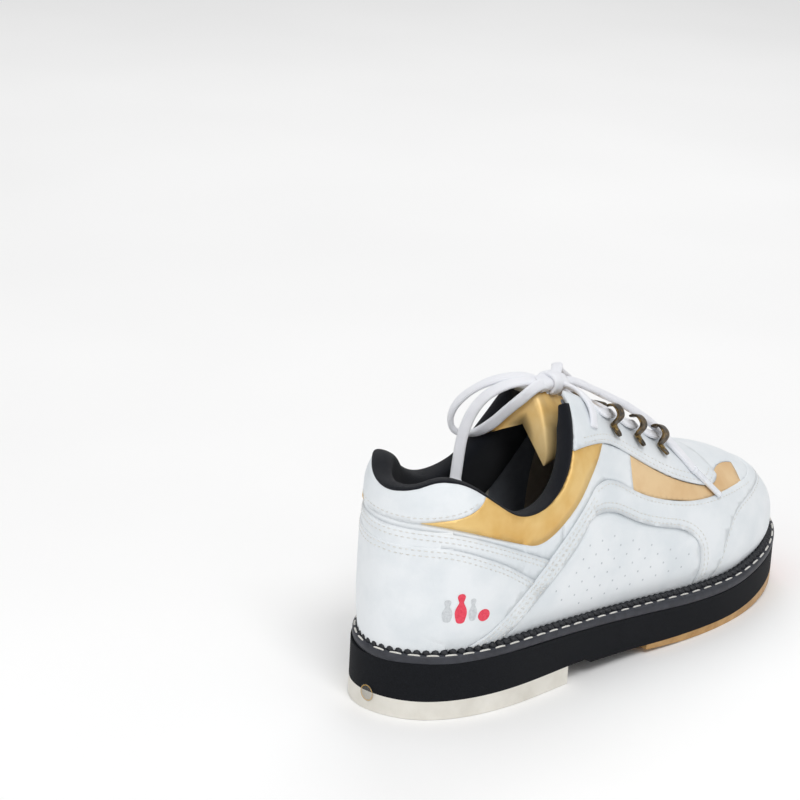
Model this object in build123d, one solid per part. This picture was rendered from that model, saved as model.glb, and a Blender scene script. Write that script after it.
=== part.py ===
from build123d import *
import math
import os

# Right-foot bowling shoe, EU 39.  Millimetres, +X to the toe, +Y to the inner (medial) side,
# -Y to the outer (lateral) side, +Z up, z = 0 on the floor, origin under the middle of the sole.

# ---------------------------------------------------------------- driving dimensions
SOLE_LENGTH = 285.0
HALF_LENGTH = SOLE_LENGTH / 2
HEEL_HEIGHT = 9.0            # white rubber heel
HEEL_FRONT = -38.0           # front edge of the heel block
HEEL_FRONT_ROUND = 28.0      # how far the heel's front edge falls back at its sides
OUTSOLE_REAR = 4.0           # rear edge of the forefoot outsole
WELT_THICKNESS = 4.3
WELT_WIDTH = 13.0

LEATHER = 1.6                # outer panels
STIFFENER = 3.2              # depth of the counter, toe puff and facings below the outer surface
VAMP_DEPTH = 4.4             # depth of the textile lining in the vamp and quarters
FOAM_DEPTH = 6.4             # depth of the collar foam
COLLAR_DEPTH = 7.8           # depth of the collar lining

BOARD = 2.0                  # insole board
FOOTBED = 4.0                # removable footbed
HEEL_WIDTH_HALF = 40.0       # half width that the depth scaling is worked out from

TONGUE_SKIN = 1.0
TONGUE_FOAM = 3.0

LACE_D = 4.4
AGLET_D = 5.0

HOOK_X = (-9.0, 9.0, 27.0)   # three speed hooks a side
HOOK_SIZE = 7.5

os.makedirs("parts", exist_ok=True)


# ---------------------------------------------------------------- shape tables
# Every table is (x, value) along the shoe.
WELT_TOP = ((-146, 31.5), (-80, 31), (-40, 28.7), (0, 25.6), (40, 22.9), (66, 22.3), (100, 24.5), (146, 29.5))
RIDGE = ((-139.2, 66), (-137.5, 96), (-134, 114), (-128, 129), (-118, 138), (-101, 141), (-75, 140), (-40, 141),
         (-10, 124.5), (20, 106.5), (50, 89.5), (72, 80.5), (92, 75), (108, 68), (122, 58.5), (131, 49),
         (136, 40), (138.2, 33.5))
LATERAL = ((-139.2, -9), (-137.5, -14), (-134, -20.5), (-128, -28), (-118, -35.5), (-101, -41), (-75, -42.3),
           (-40, -42.3), (-10, -42.5), (20, -43.8), (50, -45.5), (72, -44.8), (92, -41), (108, -35.3), (122, -26.5),
           (131, -18.5), (136, -11.5), (138.2, -7))
MEDIAL = ((-139.2, 1), (-137.5, 6), (-134, 12.5), (-128, 20), (-118, 27.5), (-101, 33), (-75, 32.3), (-40, 29.3),
          (-10, 30.5), (20, 35), (50, 42.5), (72, 44), (92, 40.5), (108, 34.5), (122, 25.5), (131, 16), (136, 8),
          (138.2, 2.5))
CENTRE = ((-140, -4), (-100, -4), (-50, -3), (0, -2), (140, -2.5))
ROUNDNESS = ((-140, 3.4), (-100, 3.2), (-75, 2.5), (-40, 2.25), (-10, 2.0), (60, 2.1), (140, 2.3))

SOLE_OUTLINE = ((-142.5, -4), (-131, -28), (-104, -41), (-55, -44.5), (0, -46.5), (56, -49.3), (95, -43),
                (128, -26), (142.5, -4), (133, 20), (108, 39), (64, 49.3), (22, 44.5), (-30, 32.5), (-80, 34),
                (-125, 24))


def along(table, x):
    """Monotone cubic through a table's points, flat beyond its ends."""
    if x <= table[0][0]:
        return table[0][1]
    if x >= table[-1][0]:
        return table[-1][1]
    n = len(table)
    run = [table[i + 1][0] - table[i][0] for i in range(n - 1)]
    rise = [(table[i + 1][1] - table[i][1]) / run[i] for i in range(n - 1)]
    slope = [rise[0]] + [0.0] * (n - 2) + [rise[-1]]
    for i in range(1, n - 1):
        if rise[i - 1] * rise[i] > 0:
            a = 2 * run[i] + run[i - 1]
            b = run[i] + 2 * run[i - 1]
            slope[i] = (a + b) / (a / rise[i - 1] + b / rise[i])
    i = max(k for k in range(n - 1) if table[k][0] <= x)
    t = (x - table[i][0]) / run[i]
    return ((1 + 2 * t) * (1 - t) ** 2 * table[i][1] + t * (1 - t) ** 2 * run[i] * slope[i]
            + t * t * (3 - 2 * t) * table[i + 1][1] + t * t * (t - 1) * run[i] * slope[i + 1])


def welt_top(x):
    return along(WELT_TOP, x)


# ---------------------------------------------------------------- the foot-shaped body
BELLY_RISE = 20.0            # the upper is widest this far above the welt
BASE_TUCK = 3.5              # and this much narrower at the welt
ARC_STEPS = 6
STATIONS = [-139.0] + [row[0] for row in RIDGE[1:-1]] + [137.2]
TONGUE_STATIONS = (-43, -34, -24, -10, 5, 20, 35, 50, 62, 72)
TONGUE_DROP = 7.0            # the tongue lies lower than the facings at its free end
FAR = 160.0                  # beyond the whole shoe


def section_points(x, depth, tongue=False):
    """Half-loop across the shoe at x, from the lateral base over the ridge to the medial base."""
    base = welt_top(x)
    ridge = along(RIDGE, x)
    belly = base + min(BELLY_RISE, 0.3 * (ridge - base))
    crest = ridge - depth * min(1.0, (ridge - belly) / 12.0)
    if tongue:
        crest = crest - TONGUE_DROP * max(0.0, min(1.0, (-9.0 - x) / 34.0))
    power = along(ROUNDNESS, x)
    centre = along(CENTRE, x)
    sides = []
    for edge in (along(LATERAL, x), along(MEDIAL, x)):
        half = (edge - centre) * (1 - depth / HEEL_WIDTH_HALF)
        tuck = BASE_TUCK * half / HEEL_WIDTH_HALF
        loop = [(centre + half - tuck, base - 5.0), (centre + half - tuck, base + 0.5)]
        loop.append((centre + half - 0.35 * tuck, base + 0.4 * (belly - base)))
        for k in range(ARC_STEPS):
            angle = math.radians(90.0 * k / ARC_STEPS)
            loop.append((centre + half * math.cos(angle) ** (2 / 2.1),
                         belly + (crest - belly) * math.sin(angle) ** (2 / power)))
        sides.append(loop)
    return sides[0] + [(centre, crest)] + sides[1][::-1]


def foot_body(depth, stations=None, tongue=False):
    """Closed body inside the outer surface by depth."""
    loops = []
    for x in stations or STATIONS:
        place = x if tongue else x * (1 - depth / HALF_LENGTH)
        points = [Vector(place, y, z) for y, z in section_points(x, depth, tongue)]
        loops.append(Wire([Edge.make_spline(points), Edge.make_line(points[-1], points[0])]))
    return Solid.make_loft(loops, ruled=False)


def side_block(chains, y_from=-FAR, y_to=FAR):
    """Block across the shoe from a side-view outline; a chain of two points is straight."""
    edges = []
    for chain in chains:
        points = [Vector(x, y_from, z) for x, z in chain]
        edges.append(Edge.make_line(*points) if len(points) == 2 else Edge.make_spline(points))
    return Solid.extrude(Face(Wire(edges)), Vector(0, y_to - y_from, 0))


def band(lower, upper):
    """Side-view outline between two curves that run the same way."""
    return [lower, [lower[-1], upper[-1]], list(upper)[::-1], [upper[0], lower[0]]]


def raised(curve, dz, dx=0.0):
    return [(x + dx, z + dz) for x, z in curve]


def save(node, shape):
    shape.label = node
    export_step(shape, f"parts/{node}.step")


# ---------------------------------------------------------------- curves in side view
TOP_LINE = [(-38.5, 131), (-41, 124), (-44.5, 116), (-49, 108), (-55, 100), (-64, 93.5), (-76, 90.5),
            (-87, 92), (-97, 97.5), (-108, 106), (-118, 112), (-126, 112.5), (-133, 108), (-139, 105.5),
            (-146, 105)]
TOE_SEAM = [(55, 14), (58, 36), (68, 54), (86, 59), (106, 60.6), (119, 61), (128, 66)]
STRAP_REAR = [(-120, 27), (-84, 53.5), (-58, 73), (-34, 92)]
STRAP_TOP = [(-34, 92), (-26, 93.5), (-4, 83.5), (15, 75), (34, 69.5), (55, 66.5), (75, 65.3), (95, 64.5),
             (112, 64), (124, 60)]
PANEL_EDGE = [(-100, 20), (-92, 33), (-66, 55), (-42, 75)]
PANEL_TOP = [(-42, 75), (-35, 79.5), (-27, 79.5), (-6, 70), (16, 61.5), (32, 55.5), (40, 48), (43, 38), (42, 14)]
COUNTER_TOP = [(-148, 83), (-136, 83.5), (-124, 83), (-111, 78.5), (-96, 71), (-81, 61.5), (-66, 52)]
BAND_TOP = [(-148, 91), (-136, 91), (-124, 90), (-108, 85), (-92, 78), (-76, 70.5), (-58, 62)]
TAB_EDGE = [(-148, 93.5), (-136, 94), (-126, 95.5), (-116, 98.5), (-109, 103), (-105, 112)]
GOLD_EDGE = [(-148, 93.5), (-132, 94.5), (-116, 90.5), (-100, 84.5), (-80, 76.5)]
GOLD_FRONT = [(-80, 76.5), (-70, 76), (-59, 80.5), (-48, 88), (-38, 97), (-29, 104.5), (-20, 111)]
EYESTAY_EDGE = [(-52, 112), (-38, 112), (-30, 111), (-21, 109), (-8, 103), (8, 93), (26, 82.5), (46, 74), (58, 71),
                (67, 72.5)]
VAMP_GOLD = [[(0, 100), (-3, 92), (-4, 80)], [(-4, 80), (90, 55)], [(90, 55), (87, 66), (91, 71)],
             [(91, 71), (80, 73.5), (66, 73.5)], [(66, 73.5), (0, 100)]]
SPLIT_Y = -2.5               # where the lateral and medial pieces meet

welt_curve = [(x, z) for x, z in WELT_TOP]


def above(curve):
    """Everything over a curve that runs the length of the shoe."""
    return side_block([curve, [curve[-1], (curve[-1][0], 175)], [(curve[-1][0], 175), (curve[0][0], 175)],
                       [(curve[0][0], 175), curve[0]]])


def below_top_line(lift=0.0):
    """Everything under the collar's edge and forward of it."""
    line = raised(TOP_LINE, lift, -lift)
    rear = line[-1][1]
    return side_block([line, [line[-1], (-170, rear)], [(-170, rear), (-170, -20)], [(-170, -20), (146, -20)],
                       [(146, -20), (146, 175)], [(146, 175), (line[0][0], 175)],
                       [(line[0][0], 175), line[0]]])


def over_welt(lift=0.0):
    return above(raised(welt_curve, lift))


def box(x0, x1, y0, y1, z0, z1):
    return Pos((x0 + x1) / 2, (y0 + y1) / 2, (z0 + z1) / 2) * Solid.make_box(
        x1 - x0, y1 - y0, z1 - z0, Plane((-(x1 - x0) / 2, -(y1 - y0) / 2, -(z1 - z0) / 2)))


THROAT = [(-50, -18), (-37, -17.5), (0, -15), (40, -12), (56, -9), (62, -2.3), (56, 4.4), (40, 7.5), (0, 11),
          (-37, 12.5), (-50, 12.5)]


def throat_slot():
    """The open throat between the facings, cut straight down."""
    side = Edge.make_spline([Vector(x, y, 62) for x, y in THROAT])
    rear = Edge.make_line(side.position_at(1), side.position_at(0))
    return Solid.extrude(Face(Wire([side, rear])), Vector(0, 0, 120))


def only(shape):
    """The largest solid of a cut, or the cut itself if it is one solid."""
    solids = shape.solids() if hasattr(shape, "solids") else list(shape)
    return max(solids, key=lambda item: item.volume)


# ---------------------------------------------------------------- nested bodies
outer = foot_body(0.0)
under_leather = foot_body(LEATHER)
under_stiffener = foot_body(STIFFENER)
under_vamp = foot_body(VAMP_DEPTH)
under_foam = foot_body(FOAM_DEPTH)
under_collar = foot_body(COLLAR_DEPTH)
slot = throat_slot()
open_top = below_top_line()


# ---------------------------------------------------------------- leather panels of the upper
PIECES = {}
state = {"rest": (outer - under_leather) & over_welt() & open_top}
state["rest"] = state["rest"] - slot


def take(region):
    """Cut one panel out of what is left of the leather layer."""
    piece = state["rest"] & region
    state["rest"] = state["rest"] - region
    return piece


def halves(name, piece):
    """Lateral and medial copies of a panel that the shoe has on both sides."""
    PIECES[name + "_lateral"] = piece & box(-FAR, FAR, -FAR, SPLIT_Y, -20, 175)
    PIECES[name + "_medial"] = piece & box(-FAR, FAR, SPLIT_Y, FAR, -20, 175)


def forward_of(curve):
    """Side-view block in front of and below a curve that climbs forward."""
    return side_block([curve, [curve[-1], (150, curve[-1][1])], [(150, curve[-1][1]), (150, curve[0][1])],
                       [(150, curve[0][1]), curve[0]]])


PIECES["toe_cap"] = take(forward_of(TOE_SEAM))
side_panel = take(side_block([PANEL_EDGE, PANEL_TOP, [PANEL_TOP[-1], PANEL_EDGE[0]]]))
strap = take(side_block([STRAP_REAR, STRAP_TOP, [STRAP_TOP[-1], (124, 10)], [(124, 10), (-120, 10)],
                         [(-120, 10), STRAP_REAR[0]]]))
PIECES["heel_counter"] = take(side_block([COUNTER_TOP, [COUNTER_TOP[-1], (-66, 10)], [(-66, 10), (-148, 10)],
                                          [(-148, 10), COUNTER_TOP[0]]]))
PIECES["heel_band"] = take(side_block([BAND_TOP, [BAND_TOP[-1], (-58, 10)], [(-58, 10), (-148, 10)],
                                       [(-148, 10), BAND_TOP[0]]]))
PIECES["heel_tab"] = take(side_block([TAB_EDGE, [TAB_EDGE[-1], (-105, 175)], [(-105, 175), (-148, 175)],
                                      [(-148, 175), TAB_EDGE[0]]]))
eyestay = take(side_block([EYESTAY_EDGE, [EYESTAY_EDGE[-1], (67, 175)], [(67, 175), (-52, 175)],
                           [(-52, 175), EYESTAY_EDGE[0]]]))
vamp_gold = take(side_block(VAMP_GOLD))
gold = take(side_block([GOLD_EDGE, GOLD_FRONT, [GOLD_FRONT[-1], (-20, 140)], [(-20, 140), (-148, 140)],
                        [(-148, 140), GOLD_EDGE[0]]]))
quarter_white = take(box(-148, -58, -FAR, FAR, 20, 120))
saddle_bar = take(box(-60, 6, -FAR, FAR, 20, 175))
PIECES["vamp_top"] = only(state["rest"])
PIECES["rear_quarter"] = quarter_white
halves("side_panel", side_panel)
halves("side_strap", strap)
halves("eyestay", eyestay)
halves("vamp_gold", vamp_gold)
halves("quarter_gold", gold)
halves("saddle_bar", saddle_bar)

# ---------------------------------------------------------------- inner layers of the upper
COLLAR_BAND = 30.0           # padded height below the top line
COLLAR_LIP = 3.0             # the lining rolls over the edge by this much
LINING_SPLIT = -8.0          # the grey quarter lining meets the vamp lining here

in_mask = over_welt(BOARD) & open_top
lip_line = below_top_line(-COLLAR_LIP)
foam_line = below_top_line(-COLLAR_BAND)
behind_throat = box(-FAR, -38.5, -FAR, FAR, -20, 175)
counter_zone = side_block([[(-148, 80), (-120, 80), (-96, 68), (-78, 50), (-66, 26)], [(-66, 26), (-148, 26)],
                           [(-148, 26), (-148, 80)]])

second = (under_leather - under_stiffener) & over_welt() & open_top
second = second - slot
PIECES["heel_stiffener"] = second & counter_zone
PIECES["toe_puff"] = second & box(96, FAR, -FAR, FAR, -20, 175)
facing_zone = box(-37, 66, -FAR, FAR, -20, 175) & side_block(
    [EYESTAY_EDGE, [EYESTAY_EDGE[-1], (67, 175)], [(67, 175), (-52, 175)], [(-52, 175), EYESTAY_EDGE[0]]])
halves("eyestay_facing", second & facing_zone)
collar_zone = (lip_line - foam_line) & behind_throat
PIECES["collar_foam"] = (under_stiffener - under_foam) & collar_zone
roll = (under_leather - under_collar) & (below_top_line(COLLAR_LIP) - lip_line) & behind_throat
collar_lining = roll + ((under_foam - under_collar) & collar_zone)
PIECES["collar_lining"] = (collar_lining - slot) & box(-FAR, FAR, -FAR, FAR, -20, 133)

textile = (under_stiffener - under_vamp) & over_welt(BOARD) & open_top
textile = textile - slot
PIECES["vamp_lining"] = textile & box(LINING_SPLIT, FAR, -FAR, FAR, -20, 175)
quarter = textile & box(-FAR, LINING_SPLIT, -FAR, FAR, -20, 175)
PIECES["quarter_lining"] = quarter - ((open_top - foam_line) & behind_throat)

board_top = raised(welt_curve, BOARD)
PIECES["insole_board"] = under_stiffener & side_block(band(welt_curve, board_top))
PIECES["footbed"] = under_vamp & side_block(band(board_top, raised(welt_curve, BOARD + FOOTBED)))

# ---------------------------------------------------------------- tongue
TONGUE_DEPTH = VAMP_DEPTH + 1.3
TONGUE_PLAN = [(-41, -17), (-30, -20.5), (0, -21), (40, -17.5), (61.5, -11)]


def tongue_block():
    """Plan outline of the tongue, cut straight down."""
    flipped = [(x, 2 * SPLIT_Y - y) for x, y in TONGUE_PLAN]
    sides = [Edge.make_spline([Vector(x, y, 40) for x, y in line]) for line in (TONGUE_PLAN, flipped)]
    ends = [Edge.make_line(sides[0].position_at(k), sides[1].position_at(k)) for k in (0, 1)]
    return Solid.extrude(Face(Wire(sides + ends)), Vector(0, 0, 120))


tongue_levels = [TONGUE_DEPTH, TONGUE_DEPTH + TONGUE_SKIN, TONGUE_DEPTH + TONGUE_SKIN + TONGUE_FOAM,
                 TONGUE_DEPTH + 2 * TONGUE_SKIN + TONGUE_FOAM]
tongue_bodies = [foot_body(depth, TONGUE_STATIONS, True) for depth in tongue_levels]
tongue_plan = tongue_block()
for name, upper_body, lower_body in zip(("tongue_cover", "tongue_foam", "tongue_lining"), tongue_bodies,
                                        tongue_bodies[1:]):
    PIECES[name] = (upper_body - lower_body) & tongue_plan

# ---------------------------------------------------------------- sole
WELT_BOTTOM = raised(welt_curve, -WELT_THICKNESS)
MIDSOLE_FLOOR = [(-4, 5.2), (20, 4.0), (45, 3.6), (75, 3.6), (110, 7.0), (146, 13.0)]
OUTSOLE_FLOOR = [(75, 0), (95, 0.8), (120, 3.5), (146, 8.5)]
TOE_GUARD_X = 124.0
TOE_GUARD_THICKNESS = 2.0
FILLER_INSET = WELT_WIDTH
SHANK = (-88.0, 22.0, 15.0)   # rear end, front end, width
SHANK_THICKNESS = 1.6


def sole_plan(inset=0.0):
    """Outline of the sole as one closed curve, inset all round."""
    outline = Edge.make_spline([Vector(x, y, 0) for x, y in SOLE_OUTLINE], periodic=True)
    if not inset:
        return Wire([outline])
    middle = outline.position_at(0) * 0
    points = []
    for k in range(40):
        here = outline.position_at(k / 40)
        inward = outline.tangent_at(k / 40).cross(Vector(0, 0, 1))
        if inward.dot(middle - here) < 0:
            inward = inward * -1
        points.append(here + inward * inset)
    return Wire([Edge.make_spline(points, periodic=True)])


def slab(inset=0.0):
    return Solid.extrude(Face(sole_plan(inset)), Vector(0, 0, 65)).moved(Location((0, 0, -5)))


full_slab = slab()
core_slab = slab(FILLER_INSET)
welt_band = side_block(band(WELT_BOTTOM, welt_curve))
PIECES["welt"] = (full_slab & welt_band) - core_slab
shank_band = side_block(band(raised(welt_curve, -WELT_THICKNESS + 0.8),
                             raised(welt_curve, -WELT_THICKNESS + 0.8 + SHANK_THICKNESS)))
PIECES["shank"] = shank_band & box(SHANK[0], SHANK[1], -4 - SHANK[2] / 2, -4 + SHANK[2] / 2, -5, 60)
PIECES["sole_filler"] = (core_slab & welt_band) - PIECES["shank"]

toe_shell = (full_slab - slab(TOE_GUARD_THICKNESS)) & box(TOE_GUARD_X, FAR, -FAR, FAR, -5, 60)
below_welt = side_block([WELT_BOTTOM, [WELT_BOTTOM[-1], (146, -5)], [(146, -5), (-146, -5)],
                         [(-146, -5), WELT_BOTTOM[0]]])
midsole_floor = side_block([MIDSOLE_FLOOR, [MIDSOLE_FLOOR[-1], (146, 60)], [(146, 60), (-146, 60)],
                            [(-146, 60), (-146, HEEL_HEIGHT)], [(-146, HEEL_HEIGHT), (HEEL_FRONT, HEEL_HEIGHT)],
                            [(HEEL_FRONT, HEEL_HEIGHT), (HEEL_FRONT + 3, 6.5)],
                            [(HEEL_FRONT + 3, 6.5), MIDSOLE_FLOOR[0]]])
midsole = full_slab & below_welt & midsole_floor
PIECES["midsole"] = midsole - toe_shell
outsole_zone = side_block([[(OUTSOLE_REAR, 2.2), (20, 0.9), (52, 0)], [(52, 0), (75, 0)], OUTSOLE_FLOOR,
                           [OUTSOLE_FLOOR[-1], (146, 40)], [(146, 40), (OUTSOLE_REAR, 40)],
                           [(OUTSOLE_REAR, 40), (OUTSOLE_REAR, 2.2)]])
outsole = (full_slab & outsole_zone & below_welt) - midsole_floor
PIECES["outsole"] = outsole - toe_shell
PIECES["toe_guard"] = toe_shell & below_welt & outsole_zone

HEEL_REACH = 50.0             # half width of the block that the heel is cut from
HEEL_MIDDLE = -6.0
front_edge = [Vector(HEEL_FRONT - HEEL_FRONT_ROUND * abs(k / 4) ** 3, HEEL_MIDDLE + HEEL_REACH * k / 4, 0)
              for k in range(-4, 5)]
rear_corners = [Vector(-150, HEEL_MIDDLE + HEEL_REACH, 0), Vector(-150, HEEL_MIDDLE - HEEL_REACH, 0)]
heel_edges = [Edge.make_spline(front_edge), Edge.make_line(front_edge[-1], rear_corners[0]),
              Edge.make_line(*rear_corners), Edge.make_line(rear_corners[1], front_edge[0])]
PIECES["heel"] = full_slab & Solid.extrude(Face(Wire(heel_edges)), Vector(0, 0, HEEL_HEIGHT))

LABEL_RADIUS = 4.2
PIECES["size_label"] = Solid.make_cylinder(LABEL_RADIUS, 0.3, Plane((-HALF_LENGTH - 0.15, -4, 8.4),
                                                                     z_dir=(-1, 0, 0)))

# ---------------------------------------------------------------- lace hooks
def surface_height(x, y):
    """Height of the outer surface over a point of the instep."""
    base = welt_top(x)
    ridge = along(RIDGE, x)
    belly = base + min(BELLY_RISE, 0.3 * (ridge - base))
    centre = along(CENTRE, x)
    edge = along(LATERAL if y < centre else MEDIAL, x)
    angle = math.acos((abs(y - centre) / abs(edge - centre)) ** 1.05)
    return belly + (ridge - belly) * math.sin(angle) ** (2 / along(ROUNDNESS, x))


def instep_plane(x, y):
    """Plane on the instep: x_dir up the slope to the throat, z_dir outward."""
    rise_x = surface_height(x + 1, y) - surface_height(x - 1, y)
    rise_y = surface_height(x, y + 1) - surface_height(x, y - 1)
    to_throat = 1 if y < SPLIT_Y else -1
    return Plane(Vector(x, y, surface_height(x, y)), x_dir=Vector(0, 2 * to_throat, to_throat * rise_y),
                 z_dir=Vector(-rise_x / 2, -rise_y / 2, 1))


PLATE = 1.0
PLATE_GAP = 0.3
CHANNEL = 5.6                # clear height of the tunnel
TUNNEL_WALLS = (-3.4, 3.7)   # where its two walls start, across the shoe
HOOK_Y = {"lateral": -20.5, "medial": 13.5}


def local_box(plane, x0, x1, y0, y1, z0, z1):
    corner = plane.from_local_coords(Vector(x0, y0, z0))
    return Solid.make_box(x1 - x0, y1 - y0, z1 - z0, Plane(corner, x_dir=plane.x_dir, z_dir=plane.z_dir))


def lace_hook(plane):
    """Riveted foot with a closed tunnel for the lace at its throat end."""
    half = HOOK_SIZE / 2
    top = PLATE_GAP + PLATE
    roof = top + CHANNEL
    tail_end = plane.from_local_coords(Vector(-6, 0, PLATE_GAP))
    tail = Solid.make_cylinder(3.4, PLATE, Plane(tail_end, x_dir=plane.x_dir, z_dir=plane.z_dir))
    body = local_box(plane, -6, 4.7, -3.0, 3.0, PLATE_GAP, top) + tail
    for wall in TUNNEL_WALLS:
        body = body + local_box(plane, wall, wall + PLATE, -3.0, 3.0, PLATE_GAP, roof)
    return body + local_box(plane, TUNNEL_WALLS[0], TUNNEL_WALLS[1] + PLATE, -half, half, roof, roof + PLATE)


def hook_rivet(plane):
    foot = plane.from_local_coords(Vector(-6, 0, -2.2))
    shank = Solid.make_cylinder(1.4, 2.2 + PLATE_GAP + PLATE, Plane(foot, x_dir=plane.x_dir, z_dir=plane.z_dir))
    head = plane.from_local_coords(Vector(-6, 0, PLATE_GAP + PLATE))
    return shank + Solid.make_cylinder(2.4, 0.8, Plane(head, x_dir=plane.x_dir, z_dir=plane.z_dir))


for side, y in HOOK_Y.items():
    planes = [instep_plane(x, y) for x in HOOK_X]
    for number, plane in enumerate(planes, 1):
        PIECES[f"lace_hook_{side}_{number}"] = lace_hook(plane)
    PIECES[f"hook_rivets_{side}"] = Compound([hook_rivet(plane) for plane in planes])

# ---------------------------------------------------------------- laces
LACE_SEAT = (0.5, 7.6, PLATE_GAP + PLATE + CHANNEL / 2)   # the cord's place inside a hook's channel


def channel(side, number):
    """Front and rear points of the cord as it passes a hook."""
    plane = instep_plane(HOOK_X[number - 1], HOOK_Y[side])
    ends = [plane.from_local_coords(Vector(LACE_SEAT[0], k * LACE_SEAT[1], LACE_SEAT[2])) for k in (-1, 1)]
    return sorted(([point.X, point.Y, point.Z] for point in ends), reverse=True)


LACES = {
    "lace_bar": [(53.5, -13.8, 89.6), (53.5, -9, 91.1), (53.5, -2.5, 90), (53.5, 4.5, 91.1), (53.5, 9.8, 89.6)],
    "lace_crossing_outer": [
        (48, -15.5, 92), (44, -9, 96), (39.5, -2, 98.2), (36.5, 6, 99.6), *channel("medial", 3),
        (20.2, 4, 108.6), (18.5, -4, 110.4), (17.8, -12, 110.4), *channel("lateral", 2),
        (2, -12, 120), (0.8, -3, 121.4), (-0.8, 5.5, 120.4), *channel("medial", 1),
        (-15, 6, 127.6), (-16, -2.5, 129), (-18.5, -8.5, 128), (-22, -13.2, 124.6)],
    "lace_crossing_inner": [
        (48, 10.8, 92.8), (45, 6, 94.8), (40.5, -2.3, 94.2), (38, -9.5, 97.8), *channel("lateral", 3),
        (20.6, -13, 107), (19.8, -5, 106.4), (18.4, 2.5, 106.6), (17.2, 8, 108), *channel("medial", 2),
        (3, 8, 116.6), (1.6, 0, 117), (0, -8, 117.8), (-1.2, -14.2, 119.4), *channel("lateral", 1),
        (-12.6, -13, 126.4), (-12.2, -6, 125), (-12.4, 1, 124.9), (-14.2, 6.2, 123.8), (-17, 9, 122.4)],
    "lace_top_lateral": [(-28, -5, 132.5), (-24.5, -12, 134), (-22.8, -19, 131), (-24, -24, 127),
                         (-25.5, -27.5, 122.5)],
    "lace_top_medial": [(-27, 1, 133), (-26.5, 8.5, 134), (-25.5, 14.8, 129), (-25.5, 19.8, 122.3),
                        (-25.5, 22.6, 117.6)],
    "bow_loop_rear": [(-28, 2, 133), (-36, 5.5, 136), (-46, 10, 135.5), (-55, 17, 131), (-61.5, 24, 123),
                      (-64.5, 28, 113.5), (-63, 27.5, 105), (-58, 20.5, 105.2), (-54, 12, 112.5),
                      (-50, 5.5, 121), (-46.5, -0.8, 128.2), (-41, -3.8, 133.6), (-34, -3.8, 134.4),
                      (-28, -3.5, 132.5)],
    "bow_loop_front": [(-24, 0, 133.5), (-15.5, 5.5, 136.5), (-8, 12.5, 133.5), (-1, 18, 128.5),
                       (7, 21.4, 123.5), (15, 23, 118), (21.5, 26.5, 110.5), (23.5, 31, 102.5),
                       (19.8, 34, 95.8), (12.8, 33.6, 94.8), (6, 32, 99.5), (0, 30.2, 107.4), (-5.5, 27.4, 116),
                       (-10.8, 22.4, 124.6), (-15.2, 14, 131), (-18.8, 5.4, 132.8), (-24, -1, 131.8)],
    "lace_end_rear": [(-28, -0.5, 132.5), (-37, 0.6, 134.3), (-46, 4, 133.2), (-54.5, 10.5, 127),
                      (-61, 15.4, 117.5), (-66.5, 16.4, 107.5), (-71.2, 14.6, 98), (-75.2, 12, 89.5)],
    "lace_end_front": [(-24, -4, 133), (-16.5, -5.5, 135.6), (-9, -8.5, 131.8), (-1.6, -11.6, 127.6),
                       (6, -14.6, 124), (14.2, -17.6, 119.6), (22.8, -20.4, 114), (31, -23.4, 107.2),
                       (38, -27, 99.4), (44.4, -31, 91.4), (50.4, -35.6, 82.6)],
}
TIPS = {"rear": (-78, 9.8, 75.4), "front": (55.4, -39.4, 74)}


def cord_tube(name, points):
    """Round tube on straight runs joined by arcs as large as the runs allow."""
    path = [Vector(*point) for point in points]
    runs = [b - a for a, b in zip(path, path[1:])]
    radii = []
    for before, after in zip(runs, runs[1:]):
        turn = math.radians(before.get_angle(after))
        radii.append(0.45 * min(before.length, after.length) / math.tan(turn / 2))
    wire = Wire(FilletPolyline(*path, radius=radii).edges())
    section = Face(Wire.make_circle(LACE_D / 2, Plane(path[0], z_dir=runs[0])))
    tube = Solid.sweep(section, wire)
    ratio = tube.volume / (section.area * wire.length)
    print(name, "length", round(wire.length, 1), "smallest radius", round(min(radii), 1), "volume ratio",
          round(ratio, 3))
    return tube


for name, points in LACES.items():
    PIECES[name] = cord_tube(name, points)
for end, tip in TIPS.items():
    start = Vector(*LACES["lace_end_" + end][-1])
    axis = Vector(*tip) - start
    place = Plane(start + axis.normalized() * 0.2, z_dir=axis)
    PIECES["aglet_" + end] = Solid.make_cylinder(AGLET_D / 2, axis.length, place)
PIECES["lace_knot"] = Pos(-26, -2.3, 133.2) * scale(Solid.make_sphere(1, angle1=-90), by=(7.5, 6.5, 4.8))

for node, shape in PIECES.items():
    save(node, shape)
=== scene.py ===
import math

import bmesh
import bpy
import numpy as np
from mathutils import Matrix, Vector
from mathutils.bvhtree import BVHTree


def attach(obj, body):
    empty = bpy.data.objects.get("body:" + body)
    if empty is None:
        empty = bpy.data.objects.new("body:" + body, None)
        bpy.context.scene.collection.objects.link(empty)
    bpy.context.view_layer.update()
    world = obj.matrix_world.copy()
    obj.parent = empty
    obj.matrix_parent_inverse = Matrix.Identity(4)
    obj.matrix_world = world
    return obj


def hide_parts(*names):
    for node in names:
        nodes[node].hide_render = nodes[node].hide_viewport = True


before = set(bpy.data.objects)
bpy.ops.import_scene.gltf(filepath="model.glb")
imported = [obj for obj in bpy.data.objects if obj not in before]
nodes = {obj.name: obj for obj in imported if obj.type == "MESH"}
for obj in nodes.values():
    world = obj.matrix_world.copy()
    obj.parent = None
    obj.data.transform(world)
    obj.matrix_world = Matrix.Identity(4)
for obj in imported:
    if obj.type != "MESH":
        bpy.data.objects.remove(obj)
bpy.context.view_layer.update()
MM = 0.001

# ---- camera
def linked(name, data):
    """A new object in the scene that shows the data."""
    obj = bpy.data.objects.new(name, data)
    bpy.context.scene.collection.objects.link(obj)
    return obj


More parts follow.
